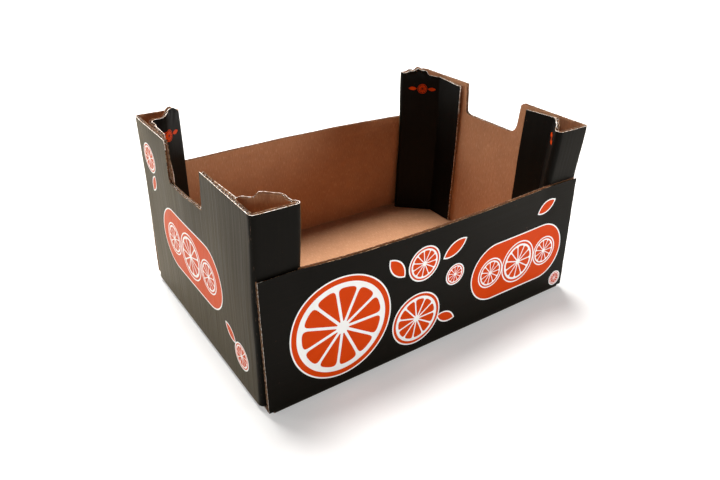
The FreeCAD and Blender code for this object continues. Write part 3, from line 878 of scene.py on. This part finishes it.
def leanAndBow(bm, side, fluting):
    low = longWall["straightUpTo"]
    high = longWall["height"]
    for vert in bm.verts:
        rise = max(0, (vert.co.z - low) / (high - low))
        shift = longWall["lean"] * rise - bowAt(vert.co.x * -side) * rise ** longWall["bowShape"]
        spot = vert.co / board["warpSize"] + Vector((7, side * 5, 0))
        shift += noise.noise(spot) * board["warp"] * smoothStep(*longWall["warpHeights"], vert.co.z)
        vert.co.y -= side * max(longWall["leastLean"] * rise, shift)
        wave = noise.noise(Vector((vert.co.x / longWall["topWaveSize"], side * 9, 1)))
        vert.co.z += wave * longWall["topWave"] * smoothStep(*longWall["waveHeights"], vert.co.z)
        if fluting:
            recess = board["fluteRecess"] * longWall["recess"]
            vert.co.z -= recess * smoothStep(*longWall["recessHeights"], vert.co.z)


def longWallSheet(side, layer):
    # side is -1 for the front
    bm = bmesh.new()
    run = bm.verts.layers.float.new("run")
    foot = board["foldOutside"]
    start = bm.verts.new((-longWall["halfLength"], side * longWall["face"], foot))
    start[run] = -longWall["halfLength"]
    runOn(bm, run, start, Vector((1, 0, 0)), 2 * longWall["halfLength"])
    divide(bm, longWall["faceLength"])
    fluting = layer == "fluting"
    step = board["flutePitch"] / board["fluteSteps"] if fluting else longWall["faceHeight"]
    span = longWall["height"] - foot
    rows = round(span / step)
    raiseLine(bm, [foot + span * row / rows for row in range(rows + 1)])

    clear = longWall["halfLength"] - longWall["footClear"]
    footEdges = []
    for edge in bm.edges:
        if all(vert.co.z < foot + 0.01 and abs(vert.co.x) < clear for vert in edge.verts):
            footEdges.append(edge)
    centre = (0, side * (longWall["face"] - foot), foot)
    turnFoot(bm, footEdges, centre, (1, 0, 0), -90 * side)
    faceOutwards(bm, (0, side * longWall["face"], box["middleHeight"]))
    for face in bm.faces:
        # the raw ends keep the knife's pale edge, and the top edge is rubbed brown
        if abs(face.calc_center_median().x) > longWall["halfLength"] - longWall["rawEnd"]:
            face.material_index = 3
    leanAndBow(bm, side, fluting)
    return bm, run


def levelFlutes(vert, run):
    turn = vert.co.z / board["flutePitch"] * 2 * math.pi
    out = smoothStep(longWall["halfLength"] - longWall["rawEnd"], longWall["halfLength"], abs(vert.co.x))
    return out * board["edgeWave"] * (1 - math.cos(turn)) / 2, math.cos(turn)


for name, side in [("front_wall", -1), ("back_wall", 1)]:
    longPrint = printMaterial(name + "_print", 1, side, longDesign, wheel, "long")
    printed = [longPrint, kraftLevel, rubbedEdge,
               longPrint, kraftLevel, cleanEdge]
    threeLayers(name, lambda layer: longWallSheet(side, layer), printed, kraftLevel,
                rubbedEdge, levelFlutes)
print("long walls built")


# Base

base = {
    "halfLength": 195.2,
    "halfDepth": 139.2,
    "facesAlong": 24,
    "facesAcross": 18,
    "flutingAcross": 300,
}


def baseSheet(layer):
    bm = bmesh.new()
    run = bm.verts.layers.float.new("run")
    across = base["flutingAcross"] if layer == "fluting" else base["facesAcross"]
    bmesh.ops.create_grid(bm, x_segments=base["facesAlong"], y_segments=across, size=1)
    bmesh.ops.scale(bm, vec=(base["halfLength"], base["halfDepth"], 1), verts=bm.verts)
    for vert in bm.verts:
        vert[run] = vert.co.x
    faceOutwards(bm, (0, 0, 0))
    return bm, run


def baseFlutes(vert, run):
    return 0, math.cos(vert.co.y / board["flutePitch"] * 2 * math.pi)


threeLayers("base", baseSheet, [underPrint, kraftLevel, cleanEdge], kraftLevel, cleanEdge, baseFlutes, up=1)
print("base built")


# Floor, light and camera

studio = {
    "floorSize": 7.0,
    "floorDrop": 0.0004,       # keeps the floor off the base's underside
    "floorTone": "#DDDBD8",
    "lift": 0.35,              # what the camera's rays get on top of the lit floor
    "mirrorLift": 0.06,        # and what mirror and glass rays get
    "farLift": 0.7,            # and the camera's again, from farStart to farEnd metres away
    "farStart": 0.9,
    "farEnd": 2.6,
    "worldLight": 0.08,
    "focal": 31.645,
    "sensor": 36.0,
    "place": (-0.3774, -0.5271, 0.4239),
    "azimuth": -35.62,
    "elevation": 29.6,
    "roll": 1.67,
}

lamps = {
    "key": {"place": (0.1, 1.2, 2.8), "size": 1.8, "power": 195},
    "fill": {"place": (1.3, -2.3, 0.4), "size": 0.9, "power": 37},
    "left": {"place": (-2.3, 1.4, 0.65), "size": 0.9, "power": 20},
}
lampsLookAt = Vector((0, 0, 0.1))


def seenBy(tree):
    # camera rays, and mirror or glass rays
    rays = addNode(tree, "LightPath").outputs
    mirror = addNode(tree, "Math", {0: rays["Is Glossy Ray"], 1: rays["Is Transmission Ray"]},
                     operation="MAXIMUM")
    return rays["Is Camera Ray"], mirror


def makeFloor():
    bm = bmesh.new()
    bmesh.ops.create_grid(bm, x_segments=2, y_segments=2, size=studio["floorSize"])
    mesh = bpy.data.meshes.new("floor")
    bm.to_mesh(mesh)
    bm.free()
    floor = bpy.data.objects.new("floor", mesh)
    bpy.context.scene.collection.objects.link(floor)
    floor.location.z = -studio["floorDrop"]
    material, tree, shader = startMaterial("whitePaperFloor", 0.9, 0.0)
    shader.inputs["Base Color"].default_value = linear(studio["floorTone"])
    shader.inputs["Emission Color"].default_value = (1, 1, 1, 1)
    camera, mirror = seenBy(tree)
    lift = addNode(tree, "Math", {0: mirror, 1: studio["mirrorLift"]}, operation="MULTIPLY")
    lift = addNode(tree, "Math", {0: camera, 1: studio["lift"], 2: lift}, operation="MULTIPLY_ADD")
    # far from the lamps the floor is lifted to white, so that it meets the world without a band
    place = addNode(tree, "TexCoord").outputs["Object"]
    far = addNode(tree, "VectorMath", {0: place}, operation="LENGTH")
    far = addNode(tree, "MapRange", {0: far, 1: studio["farStart"], 2: studio["farEnd"], 3: 0.0,
                                     4: studio["farLift"]})
    lift = addNode(tree, "Math", {0: far, 1: camera, 2: lift}, operation="MULTIPLY_ADD")
    tree.links.new(outputOf(lift), shader.inputs["Emission Strength"])
    mesh.materials.append(material)


def makeWorld():
    world = bpy.data.worlds.new("paleStudio")
    bpy.context.scene.world = world
    world.use_nodes = True
    tree = world.node_tree
    background = tree.nodes["Background"]
    background.inputs["Color"].default_value = (1, 1, 1, 1)
    camera, mirror = seenBy(tree)
    seen = addNode(tree, "Math", {0: camera, 1: mirror}, operation="MAXIMUM")
    level = addNode(tree, "Mix", {0: seen, 2: studio["worldLight"], 3: 1.0}, data_type="FLOAT")
    tree.links.new(outputOf(level), background.inputs["Strength"])


def makeLamps():
    for name, lamp in lamps.items():
        light = bpy.data.lights.new(name, "AREA")
        light.shape = "DISK"
        light.size = lamp["size"]
        light.energy = lamp["power"]
        item = bpy.data.objects.new(name, light)
        item.location = lamp["place"]
        away = Vector(lamp["place"]) - lampsLookAt
        item.rotation_euler = away.to_track_quat("Z", "Y").to_euler()
        bpy.context.scene.collection.objects.link(item)


def makeCamera():
    azimuth = math.radians(studio["azimuth"])
    elevation = math.radians(studio["elevation"])
    roll = math.radians(studio["roll"])
    level = math.cos(elevation)
    ahead = Vector((-math.sin(azimuth) * level, math.cos(azimuth) * level, -math.sin(elevation)))
    right = Vector((math.cos(azimuth), math.sin(azimuth), 0))
    up = right.cross(ahead)
    rolledRight = right * math.cos(roll) + up * math.sin(roll)
    rolledUp = up * math.cos(roll) - right * math.sin(roll)
    data = bpy.data.cameras.new("camera")
    data.sensor_width = studio["sensor"]
    data.lens = studio["focal"]
    camera = bpy.data.objects.new("camera", data)
    bpy.context.scene.collection.objects.link(camera)
    turn = Matrix((rolledRight, rolledUp, -ahead)).transposed().to_4x4()
    camera.matrix_world = Matrix.Translation(studio["place"]) @ turn
    bpy.context.scene.camera = camera


makeFloor()
makeWorld()
makeLamps()
makeCamera()
bpy.context.scene.view_settings.view_transform = "Standard"
print("floor, light and camera set")

bpy.context.view_layer.update()
